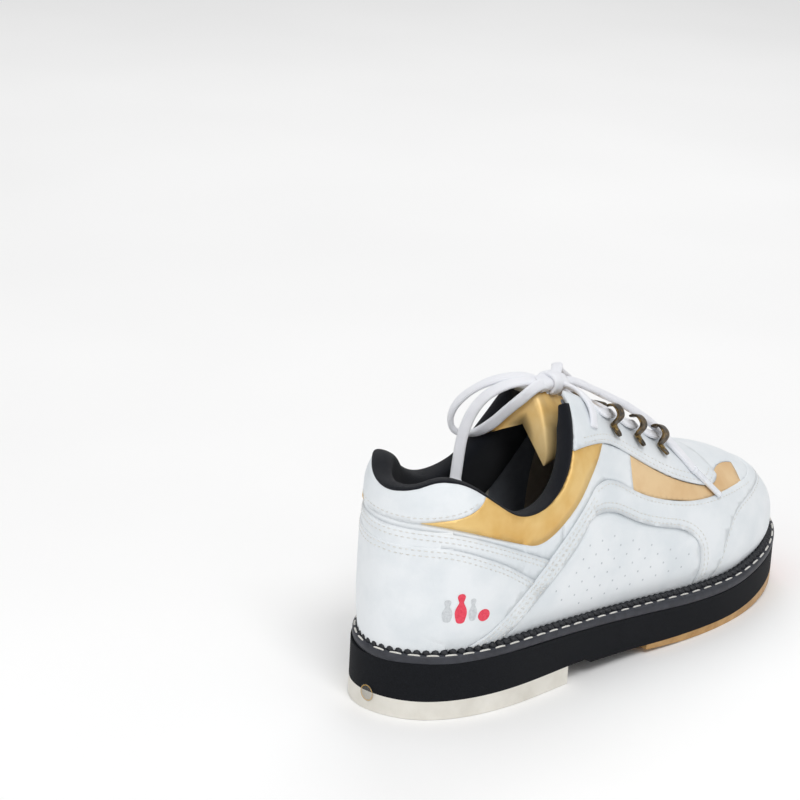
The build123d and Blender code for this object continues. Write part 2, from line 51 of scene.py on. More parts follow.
camera = linked("camera", bpy.data.cameras.new("camera"))
bpy.context.scene.camera = camera
camera.data.sensor_width = 36.0
camera.data.lens = 119.34
right = Vector((0.7062733, -0.7062182, 0.0493340))
up = Vector((0.2034359, 0.2692113, 0.9413496))
back = Vector((-0.6780795, -0.6548138, 0.3338069))
camera.matrix_world = Matrix.Translation(Vector((-0.92196, -0.76752, 0.53621))) @ Matrix(
    (right, up, back)).transposed().to_4x4()

# ---- shape of the upper, in millimetres
WELT_TOP = ((-146, 31.5), (-80, 31), (-40, 28.7), (0, 25.6), (40, 22.9), (66, 22.3), (100, 24.5),
            (146, 29.5))
RIDGE = ((-139.2, 66), (-137.5, 96), (-134, 114), (-128, 129), (-118, 138), (-101, 141), (-75, 140),
         (-40, 141), (-10, 124.5), (20, 106.5), (50, 89.5), (72, 80.5), (92, 75), (108, 68), (122, 58.5),
         (131, 49), (136, 40), (138.2, 33.5))
LATERAL = ((-139.2, -9), (-137.5, -14), (-134, -20.5), (-128, -28), (-118, -35.5), (-101, -41), (-75, -42.3),
           (-40, -42.3), (-10, -42.5), (20, -43.8), (50, -45.5), (72, -44.8), (92, -41), (108, -35.3),
           (122, -26.5), (131, -18.5), (136, -11.5), (138.2, -7))
MEDIAL = ((-139.2, 1), (-137.5, 6), (-134, 12.5), (-128, 20), (-118, 27.5), (-101, 33), (-75, 32.3),
          (-40, 29.3), (-10, 30.5), (20, 35), (50, 42.5), (72, 44), (92, 40.5), (108, 34.5), (122, 25.5),
          (131, 16), (136, 8), (138.2, 2.5))
CENTRE = ((-140, -4), (-100, -4), (-50, -3), (0, -2), (140, -2.5))
ROUNDNESS = ((-140, 3.4), (-100, 3.2), (-75, 2.5), (-40, 2.25), (-10, 2.0), (60, 2.1), (140, 2.3))
SOLE_OUTLINE = ((-142.5, -4), (-131, -28), (-104, -41), (-55, -44.5), (0, -46.5), (56, -49.3), (95, -43),
                (128, -26), (142.5, -4), (133, 20), (108, 39), (64, 49.3), (22, 44.5), (-30, 32.5), (-80, 34),
                (-125, 24))
TOP_LINE = [(-38.5, 131), (-41, 124), (-44.5, 116), (-49, 108), (-55, 100), (-64, 93.5), (-76, 90.5),
            (-87, 92), (-97, 97.5), (-108, 106), (-118, 112), (-126, 112.5), (-133, 108), (-139, 105.5)]
TOE_SEAM = [(55, 14), (58, 36), (68, 54), (86, 59), (106, 60.6), (119, 61), (128, 66)]
STRAP_REAR = [(-120, 27), (-84, 53.5), (-58, 73), (-34, 92)]
STRAP_TOP = [(-34, 92), (-26, 93.5), (-4, 83.5), (15, 75), (34, 69.5), (55, 66.5), (75, 65.3), (95, 64.5)]
PANEL_EDGE = [(-100, 20), (-92, 33), (-66, 55), (-42, 75)]
PANEL_TOP = [(-42, 75), (-35, 79.5), (-27, 79.5), (-6, 70), (16, 61.5), (32, 55.5), (40, 48), (43, 38),
             (42, 14)]
COUNTER_TOP = [(-148, 83), (-136, 83.5), (-124, 83), (-111, 78.5), (-96, 71), (-81, 61.5), (-66, 52)]
BAND_TOP = [(-148, 91), (-136, 91), (-124, 90), (-108, 85), (-92, 78), (-76, 70.5), (-58, 62)]
TAB_EDGE = [(-148, 93.5), (-136, 94), (-126, 95.5), (-116, 98.5), (-109, 103), (-105, 112)]
EYESTAY_EDGE = [(-38, 112), (-30, 111), (-21, 109), (-8, 103), (8, 93), (26, 82.5), (46, 74), (58, 71),
                (67, 72.5)]
HOOK_X = (-9.0, 9.0, 27.0)
HOOK_Y = {"lateral": -20.5, "medial": 13.5}
SIDE_POWER = 2.1            # how square the cross-section is across the shoe
TUCK = 3.5 / 40.0           # share of the half width that the upper tucks in at the welt
TUCK_POWER = 1.6
SKIN_ENDS = (-136.5, 134.5)  # between these the upper's surface has a steady direction


def monotone(table):
    """Monotone cubic through a table's points, for arrays."""
    t = np.array(table, float)
    run = np.diff(t[:, 0])
    rise = np.diff(t[:, 1]) / run
    slope = np.concatenate([[rise[0]], np.zeros(len(run) - 1), [rise[-1]]])
    for i in range(1, len(run)):
        if rise[i - 1] * rise[i] > 0:
            a, b = 2 * run[i] + run[i - 1], run[i] + 2 * run[i - 1]
            slope[i] = (a + b) / (a / rise[i - 1] + b / rise[i])

    def value(x):
        x = np.clip(np.asarray(x, float), t[0, 0], t[-1, 0])
        i = np.clip(np.searchsorted(t[:, 0], x, side="right") - 1, 0, len(run) - 1)
        s = (x - t[i, 0]) / run[i]
        return ((1 + 2 * s) * (1 - s) ** 2 * t[i, 1] + s * (1 - s) ** 2 * run[i] * slope[i]
                + s * s * (3 - 2 * s) * t[i + 1, 1] + s * s * (s - 1) * run[i] * slope[i + 1])
    return value


welt_top, ridge, lateral = monotone(WELT_TOP), monotone(RIDGE), monotone(LATERAL)
medial, centre, roundness = monotone(MEDIAL), monotone(CENTRE), monotone(ROUNDNESS)


def section(x):
    """Heights of the welt, the belly and the crest, and the middle line, at a station."""
    base, crest, mid = welt_top(x), ridge(x), centre(x)
    return base, base + np.minimum(20.0, 0.3 * (crest - base)), crest, mid


def side_y(x, z, side):
    """Where the outer surface is, across the shoe, at a height."""
    x, z = np.asarray(x, float), np.asarray(z, float)
    base, belly, crest, mid = section(x)
    half = (lateral(x) if side < 0 else medial(x)) - mid
    high = np.clip((z - belly) / (crest - belly), 0, 1) ** roundness(x)
    arch = half * (1 - high) ** (1 / SIDE_POWER)
    low = np.clip((belly - z) / (belly - base), 0, 1)
    return mid + arch - TUCK * half * low ** TUCK_POWER * (z < belly)


def height(x, y):
    """Height of the outer surface over a point of the instep."""
    x, y = np.asarray(x, float), np.asarray(y, float)
    base, belly, crest, mid = section(x)
    half = np.where(y < mid, mid - lateral(x), medial(x) - mid)
    wide = np.clip(np.abs(y - mid) / half, 0, 0.995) ** SIDE_POWER
    return belly + (crest - belly) * (1 - wide) ** (1 / roundness(x))


def field(p):
    """1 on the outer surface, less inside."""
    x, y, z = p[..., 0], p[..., 1], p[..., 2]
    base, belly, crest, mid = section(x)
    half = np.where(y < mid, mid - lateral(x), medial(x) - mid)
    low = np.clip((belly - z) / (belly - base), 0, 1)
    half = half * (1 - TUCK * low ** TUCK_POWER)
    return (np.abs(y - mid) / half) ** SIDE_POWER + (
        np.clip(z - belly, 0, None) / (crest - belly)) ** roundness(x)


def outward(p):
    """Unit normals of the outer surface."""
    p = np.asarray(p, float)
    g = np.stack([(field(p + e) - field(p - e)) / 0.4 for e in np.eye(3) * 0.2], -1)
    return g / np.maximum(np.linalg.norm(g, axis=-1, keepdims=True), 1e-9)


def off_the_ends(p):
    """The points with x kept where the surface has a steady direction."""
    kept = np.array(p, float)
    kept[..., 0] = np.clip(kept[..., 0], *SKIN_ENDS)
    return kept


def onto(p):
    """Points moved onto the outer surface."""
    p = np.array(p, float)
    for _ in range(4):
        n = outward(p)
        slope = (field(p + n * 0.3) - field(p - n * 0.3)) / 0.6
        step = (field(p) - 1) / np.maximum(np.abs(slope), 1e-4)
        p = p - n * np.clip(step, -6, 6)[..., None]
    return p


def smooth_line(points, step=1.0, closed=False):
    """Points evenly spaced along a cubic spline through the given ones."""
    p = np.array(points, float)
    if closed:
        p = np.vstack([p, p[:1]])
    t = np.concatenate([[0], np.cumsum(np.linalg.norm(np.diff(p, axis=0), axis=1))])
    h = np.diff(t)
    m = len(p)
    a = np.zeros((m, m))
    b = np.zeros((m, p.shape[1]))
    for i in range(1, m - 1):
        a[i, i - 1], a[i, i], a[i, i + 1] = h[i - 1], 2 * (h[i - 1] + h[i]), h[i]
        b[i] = 6 * ((p[i + 1] - p[i]) / h[i] - (p[i] - p[i - 1]) / h[i - 1])
    if closed:
        a[0, 0], a[0, 1], a[0, m - 2] = 2 * (h[-1] + h[0]), h[0], h[-1]
        b[0] = 6 * ((p[1] - p[0]) / h[0] - (p[0] - p[m - 2]) / h[-1])
        a[-1, 0], a[-1, -1] = 1, -1
    else:
        a[0, 0] = a[-1, -1] = 1
    c = np.linalg.solve(a, b)
    s = np.arange(0, t[-1], 0.25)
    i = np.clip(np.searchsorted(t, s, side="right") - 1, 0, m - 2)
    u, v = (t[i + 1] - s)[:, None], (s - t[i])[:, None]
    k = h[i][:, None]
    q = (c[i] * u ** 3 + c[i + 1] * v ** 3) / (6 * k) + (p[i] / k - c[i] * k / 6) * u + (
        p[i + 1] / k - c[i + 1] * k / 6) * v
    return even(q, step, closed)


def even(q, step, closed=False):
    """The same line with its points a step apart."""
    if closed:
        q = np.vstack([q, q[:1]])
    t = np.concatenate([[0], np.cumsum(np.linalg.norm(np.diff(q, axis=0), axis=1))])
    count = max(2, int(round(t[-1] / step)))
    s = np.linspace(0, t[-1], count + 1)
    if closed:
        s = s[:-1]
    return np.stack([np.interp(s, t, q[:, k]) for k in range(q.shape[1])], 1)


# ---- mesh helpers
def circle(count):
    """Angles evenly spaced round a full turn."""
    return np.linspace(0, 2 * math.pi, count + 1)[:-1]


def make(name, verts, faces, material, body="shoe"):
    """A smooth-shaded mesh object, given in millimetres, that rides on a body."""
    mesh = bpy.data.meshes.new(name)
    mesh.from_pydata([tuple(v) for v in np.asarray(verts) * MM], [], faces)
    mesh.validate()
    mesh.update()
    mesh.materials.append(material)
    mesh.polygons.foreach_set("use_smooth", [True] * len(mesh.polygons))
    obj = linked(name, mesh)
    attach(obj, body)
    return obj


def grid_faces(rows, cols, wrap_rows=False, wrap_cols=False, start=0):
    """Four-sided faces of a grid of vertices."""
    out = []
    for i in range(rows if wrap_rows else rows - 1):
        for j in range(cols if wrap_cols else cols - 1):
            a, b = i % rows, (i + 1) % rows
            c, d = j % cols, (j + 1) % cols
            out.append(tuple(start + k for k in (a * cols + c, a * cols + d, b * cols + d, b * cols + c)))
    return out


def capped(rows, cols, start=0):
    """A tube of rows rings, closed at both ends."""
    faces = grid_faces(rows, cols, wrap_cols=True, start=start)
    faces.append(tuple(start + k for k in range(cols))[::-1])
    faces.append(tuple(start + (rows - 1) * cols + k for k in range(cols)))
    return faces


def frames(line, ups):
    """Tangent, side and up of each point, with up as near ups as it can be."""
    tangent = np.gradient(line, axis=0)
    tangent /= np.linalg.norm(tangent, axis=1, keepdims=True)
    lift = ups - (ups * tangent).sum(1, keepdims=True) * tangent
    lift /= np.maximum(np.linalg.norm(lift, axis=1, keepdims=True), 1e-6)
    return tangent, np.cross(tangent, lift), lift


def stitches(name, line, pitch, length, width, thick, lift, material, ups=None, body="shoe"):
    """Separate threads lying along a line."""
    if ups is None:
        line = snap(line)
        ups = outward(off_the_ends(line))
    t = np.concatenate([[0], np.cumsum(np.linalg.norm(np.diff(line, axis=0), axis=1))])
    verts, faces = [], []
    along_thread = np.linspace(-1, 1, 7)
    ring = circle(6)
    for s in np.arange(pitch / 2, t[-1] - pitch / 2, pitch):
        spots = s + along_thread * length / 2
        p = np.stack([np.interp(spots, t, line[:, k]) for k in range(3)], 1)
        n = np.stack([np.interp(spots, t, ups[:, k]) for k in range(3)], 1)
        _, side, high = frames(p, n)
        swell = np.sqrt(np.clip(1 - np.abs(along_thread) ** 3, 0.02, 1))
        start = len(verts)
        for k in range(7):
            for a in ring:
                verts.append(p[k] + side[k] * math.cos(a) * width / 2 * swell[k]
                             + high[k] * (lift - thick * (1 - swell[k]) + math.sin(a) * thick / 2 * swell[k]))
        faces += capped(7, 6, start)
    return make(name, verts, faces, material, body)


# ---- materials
def linear(code):
    """An sRGB hex colour as linear RGBA."""
    parts = [int(code[i:i + 2], 16) / 255 for i in (1, 3, 5)]
    return tuple(c / 12.92 if c <= 0.04045 else ((c + 0.055) / 1.055) ** 2.4 for c in parts) + (1.0,)


class Paint:
    """A procedural material: two colours mixed by a pattern, with bump."""

    def __init__(self, name, roughness, metallic=0.0, sheen=0.0, coat=0.0, specular=0.5):
        self.material = bpy.data.materials.new(name)
        self.material.use_nodes = True
        self.tree = self.material.node_tree
        self.shader = self.tree.nodes["Principled BSDF"]
        self.shader.inputs["Roughness"].default_value = roughness
        self.shader.inputs["Metallic"].default_value = metallic
        self.shader.inputs["Sheen Weight"].default_value = sheen
        self.shader.inputs["Coat Weight"].default_value = coat
        self.shader.inputs["Specular IOR Level"].default_value = specular
        self.where = self.tree.nodes.new("ShaderNodeTexCoord").outputs["Object"]
        self.last = None

    def node(self, kind, **values):
        made = self.tree.nodes.new(kind)
        for key, value in values.items():
            if key in made.inputs:
                made.inputs[key].default_value = value
            else:
                setattr(made, key, value)
        return made

    def link(self, a, b):
        self.tree.links.new(a, b)

    def noise(self, scale, detail=3.0, rough=0.55):
        made = self.node("ShaderNodeTexNoise", Scale=scale, Detail=detail, Roughness=rough)
        self.link(self.where, made.inputs["Vector"])
        return made.outputs["Fac"]

    def cells(self, scale, feature="F1", output="Distance"):
        made = self.node("ShaderNodeTexVoronoi", feature=feature, Scale=scale)
        self.link(self.where, made.inputs["Vector"])
        return made.outputs[output]

    def weave(self, scale, vector=None, turn=0.0):
        """Over-and-under threads from two crossed waves."""
        source = vector or self.where
        if turn:
            spun = self.node("ShaderNodeVectorRotate", Angle=turn)
            self.link(source, spun.inputs["Vector"])
            source = spun.outputs[0]
        waves = []
        for direction in ("X", "Y", "Z")[:2 if vector else 3]:
            wave = self.node("ShaderNodeTexWave", bands_direction=direction, Scale=scale)
            wave.inputs["Distortion"].default_value = 0.4
            self.link(source, wave.inputs["Vector"])
            waves.append(wave.outputs["Fac"])
        total = waves[0]
        for wave in waves[1:]:
            total = self.math("MULTIPLY", total, wave) if vector else self.math("ADD", total, wave)
        return total

    def math(self, operation, a, b):
        made = self.node("ShaderNodeMath", operation=operation)
        for socket, value in zip(made.inputs, (a, b)):
            if isinstance(value, (int, float)):
                socket.default_value = value
            else:
                self.link(value, socket)
        return made.outputs[0]

    def colour(self, pattern, low, high, near=0.3, far=0.7):
        ramp = self.node("ShaderNodeValToRGB")
        ramp.color_ramp.elements[0].position = near
        ramp.color_ramp.elements[1].position = far
        ramp.color_ramp.elements[0].color = linear(low)
        ramp.color_ramp.elements[1].color = linear(high)
        self.link(pattern, ramp.inputs["Fac"])
        self.link(ramp.outputs["Color"], self.shader.inputs["Base Color"])
        return self

    def bump(self, pattern, depth, strength=0.5):
        made = self.node("ShaderNodeBump", Strength=strength, Distance=depth)
        self.link(pattern, made.inputs["Height"])
        if self.last:
            self.link(self.last, made.inputs["Normal"])
        self.last = made.outputs["Normal"]
        self.link(self.last, self.shader.inputs["Normal"])
        return self

    def rough(self, pattern, low, high):
        made = self.node("ShaderNodeMapRange")
        made.inputs["To Min"].default_value = low
        made.inputs["To Max"].default_value = high
        self.link(pattern, made.inputs["Value"])
        self.link(made.outputs["Result"], self.shader.inputs["Roughness"])
        return self


def plain(name, roughness, tint, relief, broad=None, gloss=None, **more):
    """Noise for the tint, the fine relief and, if given, a broad relief and the roughness."""
    p = Paint(name, roughness, **more)
    p.colour(p.noise(*tint[:2]), *tint[2:])
    for scale, detail, depth, strength in filter(None, (relief, broad)):
        p.bump(p.noise(scale, detail), depth, strength)
    if gloss:
        p.rough(p.noise(*gloss[:2]), *gloss[2:])
    return p.material


def leather(name, dark, light, low, high, grain=950, deep=0.00022, **more):
    p = Paint(name, low, **more)
    p.colour(p.noise(38, 4), dark, light, 0.35, 0.6)
    p.rough(p.noise(160, 4), low, high)
    p.bump(p.cells(grain, "DISTANCE_TO_EDGE"), deep, 0.35)
    p.bump(p.noise(75, 3), 0.0009, 0.22)
    return p.material


def cloth(name, dark, light, scale, deep=0.0003, turn=0.6, sheen=0.4, rough=0.9):
    p = Paint(name, rough, sheen=sheen, specular=0.2)
    w = p.weave(scale, turn=turn)
    p.colour(p.math("MULTIPLY", p.math("MULTIPLY", w, 0.5), p.math("ADD", p.noise(300, 3), 0.5)), dark, light,
             0.2, 0.9)
    p.bump(w, deep, 0.5)
    p.bump(p.noise(1400, 2), 0.0002, 0.5)
    return p.material


WHITE = leather("white_leather", "#DEE4E8", "#EAEEF1", 0.38, 0.52)
WHITE_PANEL = leather("white_leather_flat", "#E0E6EA", "#EBEFF2", 0.36, 0.5, grain=1200)
GOLD = leather("gold_leather", "#DBAC59", "#EAC680", 0.34, 0.5, grain=1300, deep=0.00015, metallic=0.25)
# The vamp's gold is a lighter, less metallic copy of the gold leather: painted light where the vamp faces up
# into the light.
GOLD_VAMP_PAINTED_LIGHT = leather("gold_vamp_leather_painted_light", "#DDB683", "#EBCB9C", 0.38, 0.52, grain=1300, deep=0.00015,
                    metallic=0.1)
TONGUE_GOLD = leather("gold_tongue_leather", "#DDB264", "#EFD093", 0.34, 0.48, grain=1500, deep=0.0002,
                      metallic=0.25)
BLACK_KNIT = cloth("black_knit", "#07080C", "#181B23", 2200, sheen=0.08)
BLACK_LINING = cloth("black_lining", "#06080D", "#12151C", 2600, sheen=0.05)
GREY_MESH = cloth("grey_mesh", "#454B55", "#858B96", 900, deep=0.0006)
BEIGE = cloth("beige_lining", "#AC9A82", "#D2C2AA", 1800)
BOARD = cloth("fibre_board", "#8A7B66", "#A3947E", 1500)
FOAM = cloth("foam", "#B9B5A8", "#CFCBBE", 1200)

WELT = plain("welt_leather", 0.55, (220, 4, "#26282F", "#363840"), (1400, 3, 0.00012, 0.5),
             broad=(240, 3, 0.0002, 0.4), gloss=(400, 3, 0.45, 0.65))
ROPE = plain("rope_cord", 0.5, (600, 3, "#101218", "#22252C"), (2000, 3, 0.0002, 0.6))
MIDSOLE = plain("midsole_rubber", 0.8, (1500, 4, "#07090D", "#12151B"), (2600, 4, 0.00025, 0.7),
                broad=(90, 2, 0.0003, 0.2), specular=0.22)
HEEL = plain("heel_rubber", 0.55, (60, 5, "#D9D5CB", "#ECE9E1"), (900, 3, 0.0001, 0.4),
             broad=(45, 2, 0.0004, 0.2), gloss=(240, 3, 0.42, 0.62))
TAN = plain("outsole_tan", 0.8, (170, 5, "#A87E45", "#C89F66"), (1300, 4, 0.0004, 0.7), sheen=0.2)
RED_RUBBER = plain("toe_guard_red", 0.7, (260, 4, "#A8463F", "#C4655C"), (1200, 3, 0.0002, 0.5))
BRASS = plain("antique_brass", 0.34, (420, 5, "#3A332A", "#8C734A", 0.42, 0.72), (1400, 3, 0.00015, 0.4),
              gloss=(500, 4, 0.22, 0.5), metallic=1.0)
RIVET = plain("rivet_brass", 0.3, (420, 5, "#6E5A34", "#C2A263", 0.35, 0.7), (1400, 3, 0.0001, 0.4),
              metallic=1.0)
STEEL = plain("steel_strip", 0.35, (300, 4, "#7C7E84", "#9A9CA2"), (900, 3, 0.0001, 0.3), metallic=1.0)
LABEL = plain("film_label", 0.2, (500, 3, "#6D6B66", "#86837C"), (400, 2, 0.0001, 0.2), coat=0.5)
LABEL.node_tree.nodes["Principled BSDF"].inputs["Alpha"].default_value = 0.3
PRINT_GOLD = plain("gold_print", 0.3, (500, 3, "#C6973E", "#E2BB64"), (900, 2, 0.0001, 0.2), metallic=0.6)
PRINT_RED = plain("red_print", 0.45, (700, 4, "#DD2F49", "#F04A62"), (1200, 3, 0.0001, 0.3))
PRINT_GREY = plain("grey_print", 0.4, (900, 4, "#C3C7CB", "#D9DDE0"), (1200, 3, 0.0001, 0.3), metallic=0.3)
# The perforations are grey discs on the leather: their grey is painted shade standing for the holes.
HOLE_SHADE = plain("perforation", 0.8, (900, 3, "#BDC3C9", "#D2D7DB"), (900, 2, 0.0001, 0.2))
AGLET = plain("aglet_film", 0.18, (700, 3, "#DCE0E8", "#EEF1F6"), (700, 2, 0.0001, 0.3), coat=0.6)


def thread(name, roughness, dark, light):
    p = Paint(name, roughness, sheen=0.4)
    p.colour(p.noise(900, 3), dark, light).bump(p.weave(3000), 0.0001, 0.5)
    return p.material


THREAD = thread("thread_cream", 0.75, "#DCDBD6", "#EFEEEA")
WELT_THREAD = thread("thread_white", 0.7, "#DAD8D0", "#F0EEE8")

p = Paint("lace_weave", 0.85, sheen=0.3, specular=0.25)
uv = p.tree.nodes.new("ShaderNodeUVMap").outputs[0]
threads = p.weave(0.55, vector=uv, turn=0.78)
p.colour(p.math("MULTIPLY", p.math("ADD", threads, 0.7), p.math("ADD", p.noise(120, 3), 0.35)), "#DEE0EA",
         "#F7F8FC", 0.15, 0.85)
p.bump(threads, 0.0004, 0.55).bump(p.noise(1800, 2), 0.0002, 0.4)
LACE = p.material


def dress(name, material):
    """A carried-over CAD node takes a material."""
    obj = nodes[name]
    obj.data.materials.clear()
    obj.data.materials.append(material)


# ---- leather panels, stacked as they are sewn
LIFTS = {"toe_cap": 0.45, "vamp_top": 0.1, "rear_quarter": 0.0, "heel_counter": 0.75, "heel_band": 0.4,
         "heel_tab": 0.9, "side_panel": 0.0, "side_strap": 0.95, "eyestay": 1.0, "vamp_gold": 0.0,
         "quarter_gold": 0.0, "saddle_bar": 0.15}
# The vamp's gold panel takes the copy of the gold leather with painted light.
PANEL_PAINT = {"vamp_gold": GOLD_VAMP_PAINTED_LIGHT, "quarter_gold": GOLD, "side_panel": WHITE_PANEL,
               "vamp_top": WHITE_PANEL}


def lifted_panel(node, lift, material):
    """A CAD panel's leather, its outer skin raised by its place in the stack."""
    built = bmesh.new()
    built.from_mesh(nodes[node].data)
    bmesh.ops.remove_doubles(built, verts=built.verts, dist=0.00003)
    mesh = bpy.data.meshes.new(node + "_leather")
    p = np.array([v.co[:] for v in built.verts]) / MM
    safe = off_the_ends(p)
    n = outward(safe)
    crown = np.clip((p[:, 2] - welt_top(p[:, 0]) - 1.5) / 6, 0, 1)
    if node == "heel_tab":
        drop = np.interp(p[:, 0], [-139, -126, -109], [105.5, 112.5, 106.5]) - p[:, 2]
        crown = 0.5 + 1.2 * np.clip(np.sin(np.clip(drop / 17, 0, 1) * math.pi), 0, 1)
    if node.startswith("quarter_gold"):
        crown = np.clip((p[:, 2] - 77) / 14, 0, 1) * np.clip((118 - p[:, 2]) / 14, 0, 1)
        lift = 1.0
    skin_side = np.clip((1.45 - np.linalg.norm(p - onto(safe), axis=1)) / 0.3, 0, 1)
    crown = crown * skin_side * np.clip((p[:, 0] + 138.6) / 6, 0, 1)
    p = p + n * (lift * crown)[:, None]
    for vertex, place in zip(built.verts, p * MM):
        vertex.co = place
    built.to_mesh(mesh)
    built.free()
    mesh.polygons.foreach_set("use_smooth", [True] * len(mesh.polygons))
    mesh.set_sharp_from_angle(angle=math.radians(62))
    mesh.materials.append(material)
    obj = linked(node + "_leather", mesh)
    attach(obj, "shoe")
    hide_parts(node)
    return obj


panels = []
for stem, lift in LIFTS.items():
    for node in [n for n in nodes if n == stem or n in (stem + "_lateral", stem + "_medial")]:
        panels.append(lifted_panel(node, lift, PANEL_PAINT.get(stem, WHITE)))


def heel_wrap(name, low, high, lift):
    """Leather drawn smoothly round the back of the heel, tucked under the panel beside it at both ends."""
    rows = []
    levels = [low] + list(np.arange(low + 1, high - 0.5, 1.5)) + [high - 0.3, high, high - 0.1]
    for index, z in enumerate(levels):
        sides = [[(x, float(side_y(x, z, side))) for x in (-122, -126, -130, -134)] for side in (-1, 1)]
        plan = smooth_line(sides[0] + [(-139.4, -4)] + sides[1][::-1], 0.4)
        share = np.linspace(0, 1, len(plan))
        spread = np.linspace(0, 1, 81)
        plan = np.stack([np.interp(spread, share, plan[:, k]) for k in range(2)], 1)
        along = np.gradient(plan, axis=0)
        along /= np.linalg.norm(along, axis=1, keepdims=True)
        taper = np.clip(np.minimum(spread, 1 - spread) / 0.12, 0, 1)
        raise_by = lift * (0.35 + 0.65 * taper) + 0.1
        if index >= len(levels) - 2:
            raise_by = raise_by - (0.35 if index == len(levels) - 2 else 1.3)
        plan = plan + np.stack([-along[:, 1], along[:, 0]], 1) * raise_by[:, None]
        rows.append(np.column_stack([plan, np.full(len(plan), z)]))
    obj = make(name, np.array(rows).reshape(-1, 3), grid_faces(len(rows), 81), WHITE)
    return obj


panels.append(heel_wrap("heel_counter_wrap", 31.9, 83.3, LIFTS["heel_counter"]))
panels.append(heel_wrap("heel_band_wrap", 82.0, 90.6, LIFTS["heel_band"]))
skin_verts, skin_faces = [], []
for panel in panels:
    start = len(skin_verts)
    skin_verts += [v.co / MM for v in panel.data.vertices]
    skin_faces += [[start + k for k in f.vertices] for f in panel.data.polygons]
leather_tree = BVHTree.FromPolygons(skin_verts, skin_faces)


def snap(points, lift=0.0):
    """Points dropped onto the leather as it is stacked."""
    points = np.array(points, float)
    flat = points.reshape(-1, 3)
    normals = outward(off_the_ends(flat))
    out = []
    for spot, n in zip(flat, normals):
        hit = leather_tree.ray_cast(Vector(spot + n * 7), Vector(-n), 16)[0]
        out.append((np.array(hit) if hit is not None else spot) + n * lift)
    return np.array(out).reshape(points.shape)


for node, material in {
        "midsole": MIDSOLE, "heel": HEEL, "outsole": TAN, "toe_guard": RED_RUBBER, "shank": STEEL,
        "sole_filler": BOARD, "insole_board": BOARD, "footbed": GREY_MESH, "toe_puff": BOARD,
        "heel_stiffener": BOARD, "eyestay_facing_lateral": FOAM, "eyestay_facing_medial": FOAM,
        "collar_foam": FOAM, "vamp_lining": BEIGE, "quarter_lining": GREY_MESH}.items():
    dress(node, material)


# ---- paths on the upper
def around(curve, front, step=1.0):
    """A side-view curve followed from the lateral side, round the heel, to the medial side."""
    xz = smooth_line(curve, 0.5)
    xz = xz[np.argsort(xz[:, 0])]
    zx = lambda x: np.interp(x, xz[:, 0], xz[:, 1])
    turn = -112.0
    points = []
    for side in (-1, 1):
        xs = np.arange(front, turn, -0.5)
        points.append(np.stack([xs, side_y(xs, zx(xs), side), zx(xs)], 1))
    arc = []
    mid = (points[0][-1, 1] + points[1][-1, 1]) / 2
    for angle in np.radians(np.arange(-88, 89, 2)):
        low, high = 2.0, 60.0
        for _ in range(30):
            r = (low + high) / 2
            x = turn - math.cos(angle) * r
            spot = np.array([x, mid + math.sin(angle) * r, zx(x)])
            if field(spot) < 1 and x > -139.0:
                low = r
            else:
                high = r
        arc.append(spot)
    return even(np.vstack([points[0], arc, points[1][::-1]]), step)


def side_line(curve, side, offset=0.0, step=0.8):
    """A side-view curve laid on one side of the shoe; offset moves it sideways."""
    xz = smooth_line(curve, 0.4)
    t = np.gradient(xz, axis=0)
    t /= np.linalg.norm(t, axis=1, keepdims=True)
    xz = xz + np.stack([-t[:, 1], t[:, 0]], 1) * offset
    base, belly, crest, mid = section(xz[:, 0])
    keep = (xz[:, 1] < crest - 0.6) & (xz[:, 1] > base + 0.6) & (np.abs(xz[:, 0]) < 137)
    xz = xz[keep]
    return even(np.stack([xz[:, 0], side_y(xz[:, 0], xz[:, 1], side), xz[:, 1]], 1), step)


def sew(name, line):
    """One row of the upper's fine stitching."""
    return stitches(name, line, pitch=2.9, length=2.2, width=0.5, thick=0.4, lift=0.06, material=THREAD)


for side, word in ((-1, "lateral"), (1, "medial")):
    for name, curve, offset in (
            ("strap_rear_a", STRAP_REAR, -1.7), ("strap_rear_b", STRAP_REAR, -4.2),
            ("strap_front_a", PANEL_EDGE, 1.7), ("strap_front_b", PANEL_EDGE, 4.2),
            ("panel_top_a", PANEL_TOP, 1.7), ("panel_top_b", PANEL_TOP, 4.2),
            ("toe_seam_a", TOE_SEAM, -1.6),
            ("strap_top_a", STRAP_TOP, -1.7),
            ("eyestay_a", EYESTAY_EDGE, 1.7), ("eyestay_b", EYESTAY_EDGE, 3.9)):
        sew(f"stitch_{name}_{word}", side_line(curve, side, offset))

for name, curve, shift, front in (
        ("counter_a", COUNTER_TOP, -1.8, -70), ("counter_b", COUNTER_TOP, -4.3, -72),
        ("band_a", BAND_TOP, -1.6, -62), ("band_b", BAND_TOP, -4.0, -64),
        ("tab", TAB_EDGE, 2.2, -111)):
    moved = [(x, z + shift) for x, z in curve]
    sew("stitch_" + name, around(moved, front))

# ---- padded collar
rim = around(TOP_LINE, -38.6, 1.6)
kernel = np.ones(5) / 5
rim[2:-2] = np.stack([np.convolve(rim[:, k], kernel, "valid") for k in range(3)], 1)
rim_out = outward(rim)
_, rim_up, rim_n = frames(rim, rim_out)
rim_up *= np.sign(rim_up[:, 2:3])
